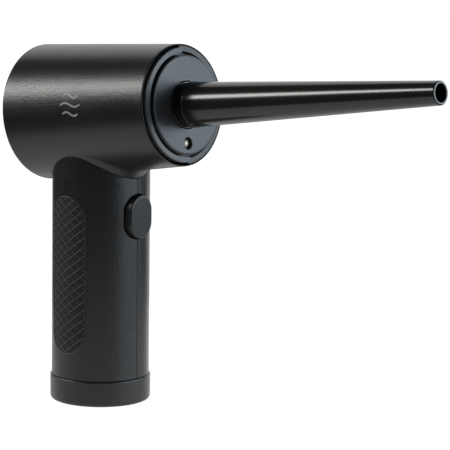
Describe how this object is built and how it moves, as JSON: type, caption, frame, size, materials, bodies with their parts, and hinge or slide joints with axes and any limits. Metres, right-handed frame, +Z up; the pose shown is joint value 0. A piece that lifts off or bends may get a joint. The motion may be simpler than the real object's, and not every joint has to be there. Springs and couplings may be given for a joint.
{
  "type": "cordless air duster",
  "caption": "Hand-held cordless air duster: a tapered fan drum on a round upright handle, with a long tapered nozzle, a front button, a small work lamp and a slotted air intake.",
  "frame": {"origin": "centre of the flat underside it stands on, on the handle's axis", "axes": "+Z up along the handle's axis, +X forward, the way the nozzle points, +Y to the tool's left; the drum and nozzle climb 7 degrees towards +X in the XZ plane"},
  "size_m": [0.2168, 0.0598, 0.1606],
  "materials": {
    "shell_black": "satin black plastic with a fine grain",
    "front_grey": "dark blue-grey plastic with a fine grain",
    "trim_black": "satin",
    "nozzle_black": "gloss black",
    "button_black": "semi-gloss black",
    "grip_rubber": "matt rubber with a raised lattice",
    "foot_rubber": "matt",
    "inner_plastic": "moulded",
    "circuit_board": "solder mask",
    "plated_steel": "plated",
    "clear_light": "clear moulding",
    "lamp_clear": "clear domed lens",
    "lamp_yellow": "phosphor",
    "cell_jacket": "printed sleeve on a metal can",
    "filter_felt": "felt",
    "fan_aluminium": "turned and milled",
    "motor_steel": "windings and laminations"
  },
  "bodies": {
    "housing": {"air_funnel": "inner_plastic", "base_cap": "shell_black", "cell_frame": "inner_plastic", "cell_left": "cell_jacket", "cell_right": "cell_jacket", "charge_board": "circuit_board", "charge_socket": "plated_steel", "control_board": "circuit_board", "drum_shell": "shell_black", "foot_pad": "foot_rubber", "front_plate": "front_grey", "grip_pad_left": "grip_rubber", "grip_pad_right": "grip_rubber", "handle_left": "shell_black", "handle_right": "shell_black", "lamp_board": "circuit_board", "lamp_chip": "lamp_yellow", "lamp_lens": "lamp_clear", "motor_case": "fan_aluminium", "motor_core": "motor_steel", "motor_mount": "foot_rubber", "nozzle_socket": "nozzle_black", "status_light": "clear_light", "switch_case": "inner_plastic", "trim_band": "trim_black", "trim_bead": "trim_black"},
    "button": {"trigger_button": "button_black", "switch_plunger": "inner_plastic"},
    "nozzle": {"nozzle": "nozzle_black", "nozzle_seal": "foot_rubber"},
    "rotor": {"fan_wheel": "fan_aluminium", "motor_shaft": "plated_steel"},
    "cover": {"intake_cover": "shell_black", "intake_filter": "filter_felt"}
  },
  "joints": [
    {"name": "button_press", "type": "slide", "parent": "housing", "child": "button", "axis": [-1, 0, 0], "range_m": [0, 0.0015], "stiffness_N_per_m": 900},
    {"name": "nozzle_pull", "type": "slide", "parent": "housing", "child": "nozzle", "axis": [0.9925, 0, 0.1219], "range_m": [0, 0.03]},
    {"name": "rotor_spin", "type": "hinge", "parent": "housing", "child": "rotor", "pos_m": [0, 0, 0.1289], "axis": [0.9925, 0, 0.1219], "continuous": true},
    {"name": "cover_pull", "type": "slide", "parent": "housing", "child": "cover", "axis": [-0.9925, 0, -0.1219], "range_m": [0, 0.02]}
  ]
}
